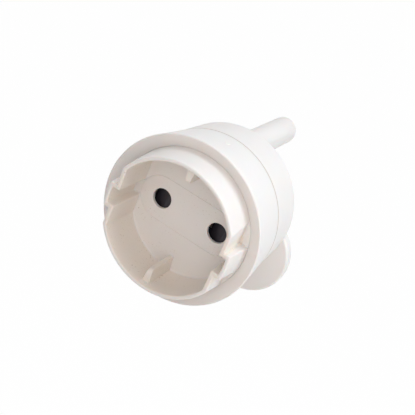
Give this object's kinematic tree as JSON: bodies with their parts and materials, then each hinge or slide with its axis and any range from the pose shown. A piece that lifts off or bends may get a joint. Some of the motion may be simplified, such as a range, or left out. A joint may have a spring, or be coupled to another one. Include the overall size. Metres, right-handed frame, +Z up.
{
  "type": "travel plug adapter",
  "caption": "Round white travel adapter: recessed keyed socket with a sprung shutter, dished flange, lobed rear housing, round plug pins and a moulded dummy earth pin.",
  "frame": {"origin": "centre of the flat plug face, on the axis of the round body", "axes": "+Y out of the plug face along the pins, +Z up towards the earth pin, +X along the line of the entry holes; the socket faces -Y"},
  "size_m": [0.0546, 0.0679, 0.0496],
  "materials": {
    "white_shell": "smooth moulded white plastic with a soft gloss",
    "inner_plastic": "plain moulded insulator",
    "black_plastic": "matt black moulding",
    "plated_brass": "nickel-plated brass",
    "contact_bronze": "bare spring bronze",
    "steel": "zinc-plated steel"
  },
  "bodies": {
    "housing": {"front_housing": "white_shell", "socket_insert": "white_shell", "rear_housing": "white_shell", "live_pin": "plated_brass", "neutral_pin": "plated_brass", "live_contact": "contact_bronze", "neutral_contact": "contact_bronze", "contact_carrier": "inner_plastic", "shutter_spring": "steel", "housing_screws": "steel"},
    "shutter": {"shutter": "black_plastic"}
  },
  "joints": [
    {"name": "shutter_slide", "type": "slide", "parent": "housing", "child": "shutter", "axis": [1, 0, 0], "range_m": [0, 0.0062], "stiffness_N_per_m": 150, "springref_m": -0.006, "deforming": ["shutter_spring"]}
  ]
}
